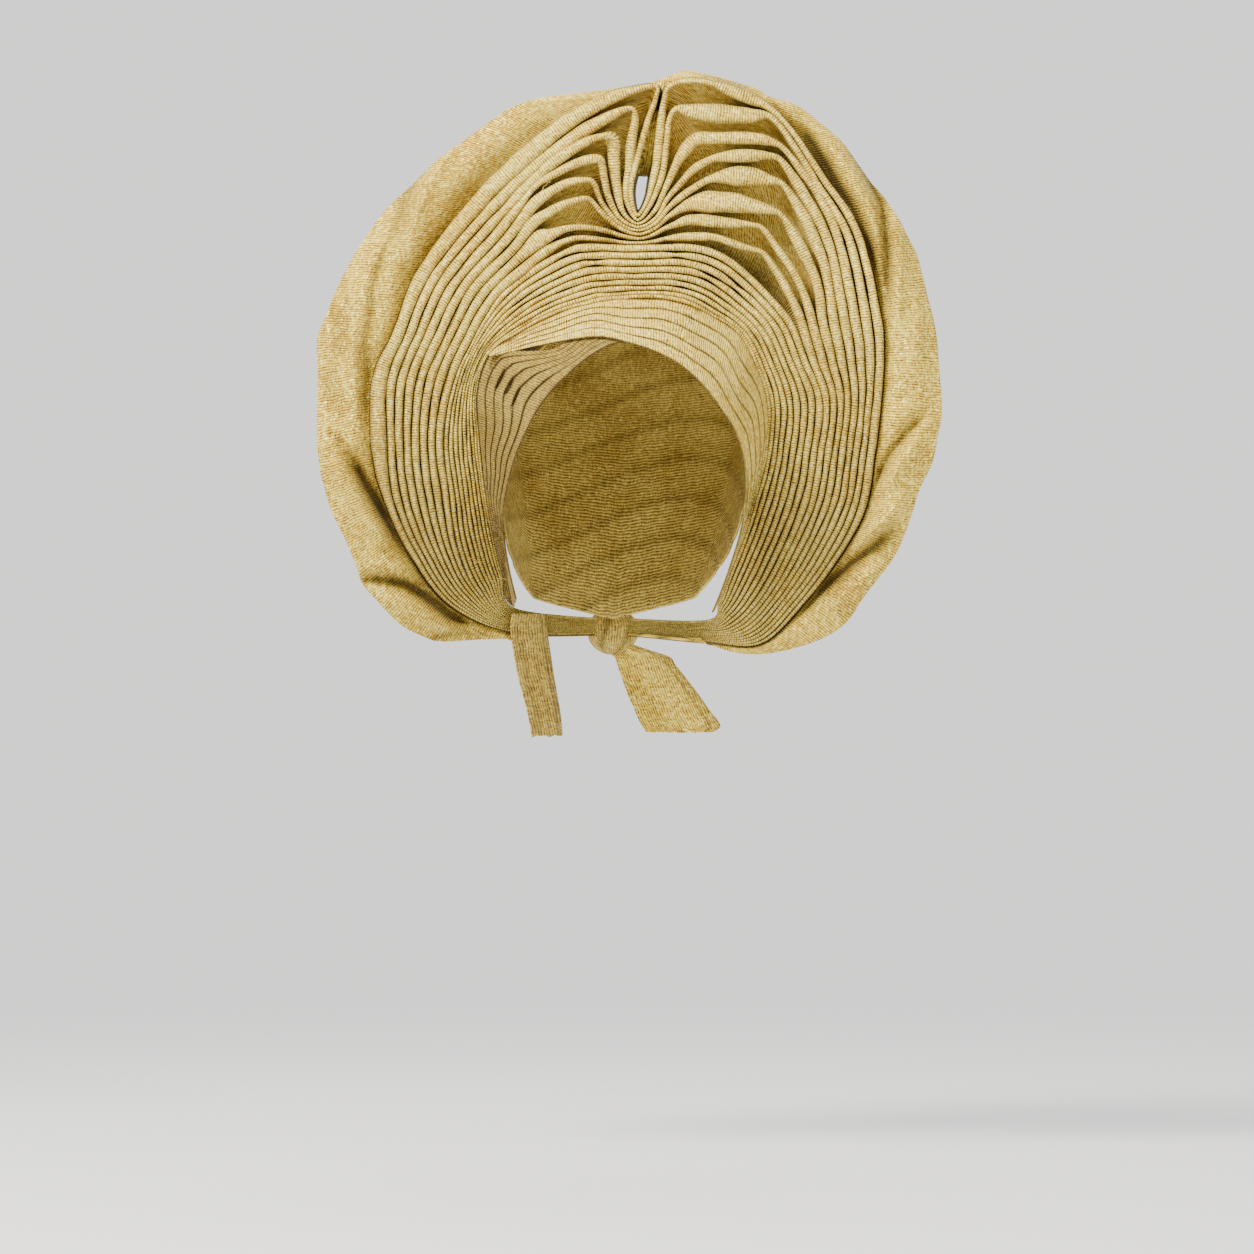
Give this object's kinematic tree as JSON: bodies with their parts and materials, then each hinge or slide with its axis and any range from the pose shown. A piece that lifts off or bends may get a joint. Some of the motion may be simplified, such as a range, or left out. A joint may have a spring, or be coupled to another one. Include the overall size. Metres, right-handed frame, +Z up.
{
  "type": "tied gele head tie",
  "caption": "Head tie of one long stiff gold-striped cloth, wrapped round the head, pleated into a standing fan with a wide halo brim and knotted at the nape.",
  "frame": {"origin": "the crown of the head inside the wrap, where the tie rests on the head", "axes": "+Z up, -Y the way the wearer faces, +X to the viewer's right seen from the front (the wearer's left)"},
  "size_m": [0.3536, 0.1996, 0.3767],
  "materials": {
    "fan_cloth": "stiff woven cloth with metallic gold stripes",
    "brim_cloth": "stiff woven cloth with metallic gold stripes",
    "wrap_cloth": "stiff woven cloth with metallic gold stripes"
  },
  "bodies": {
    "root": {"crown_wrap": "wrap_cloth", "over_band": "wrap_cloth", "under_band": "wrap_cloth", "lower_pleats": "fan_cloth", "crest_pleats": "fan_cloth", "brim": "brim_cloth", "nape_knot": "wrap_cloth", "left_tail": "brim_cloth", "right_tail": "brim_cloth"}
  },
  "joints": []
}
